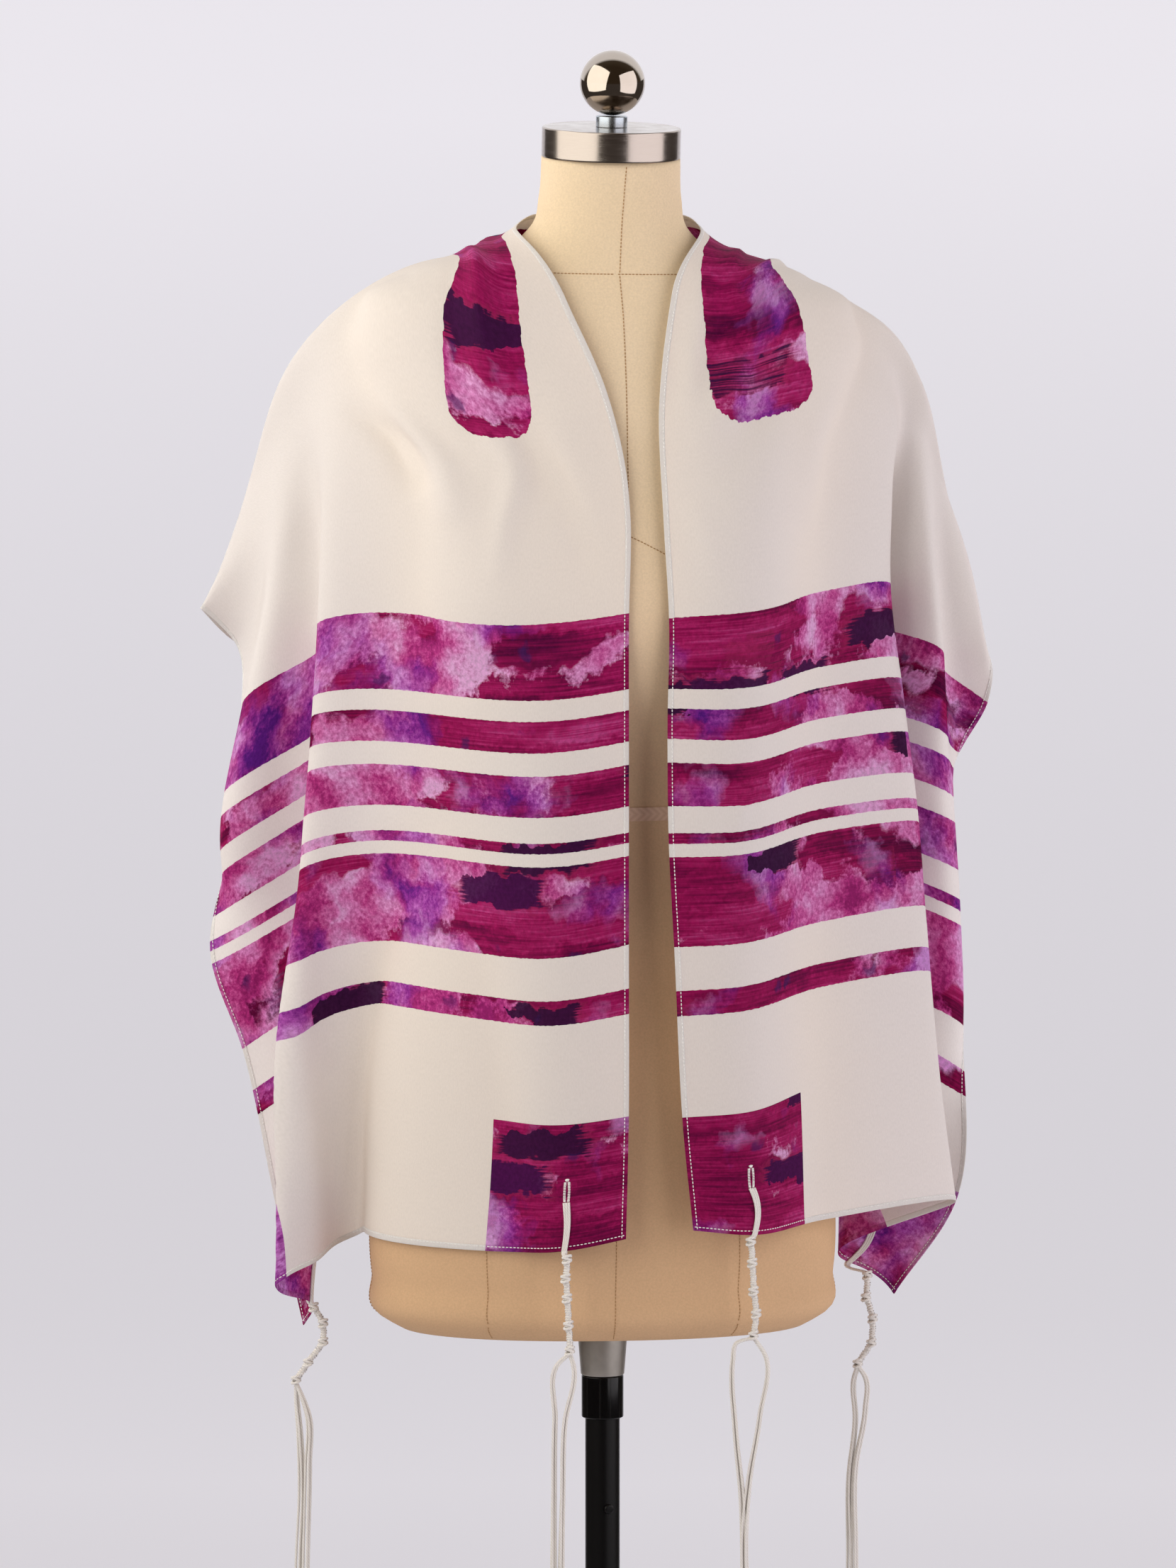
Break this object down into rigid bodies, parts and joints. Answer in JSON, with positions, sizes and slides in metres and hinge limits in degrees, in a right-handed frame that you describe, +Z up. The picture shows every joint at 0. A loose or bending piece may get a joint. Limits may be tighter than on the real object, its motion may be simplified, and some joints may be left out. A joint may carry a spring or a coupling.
{
  "type": "prayer shawl on dress form",
  "caption": "Rectangular fringed silk prayer shawl with knotted corner tassels, worn open over a limbless dress form on a pole and round base.",
  "frame": {"origin": "centre of the base plate's underside, on the floor, on the pole's axis", "axes": "+Z up along the pole, -Y the way the shawl's front opening faces, +X to the viewer's right"},
  "size_m": [0.5846, 0.4, 1.5865],
  "materials": {
    "ivory_silk": "thin ivory silk crepe with magenta and purple printed stripes, corner squares and neckband",
    "cotton_cord": "white twisted cotton cord, wound and knotted",
    "beige_cover": "fine beige jersey stretched over a padded body",
    "cotton_tape": "narrow beige twill tape",
    "brushed_steel": "brushed round the rim",
    "polished_steel": "polished",
    "grey_satin": "satin silver grey",
    "black_plastic": "gloss black",
    "black_enamel": "semi-gloss black enamel"
  },
  "bodies": {
    "root": {"shawl_panel": "ivory_silk", "tassel_left_outer": "cotton_cord", "tassel_left_front": "cotton_cord", "tassel_right_front": "cotton_cord", "tassel_right_outer": "cotton_cord", "form_torso": "beige_cover", "waist_tape": "cotton_tape", "neck_cap": "brushed_steel", "finial_stem": "polished_steel", "finial_ball": "polished_steel", "snap_button": "polished_steel", "cone_collar": "grey_satin", "pole_sleeve": "black_plastic", "pole": "black_enamel", "pole_socket": "black_enamel", "base_plate": "black_enamel"}
  },
  "joints": []
}
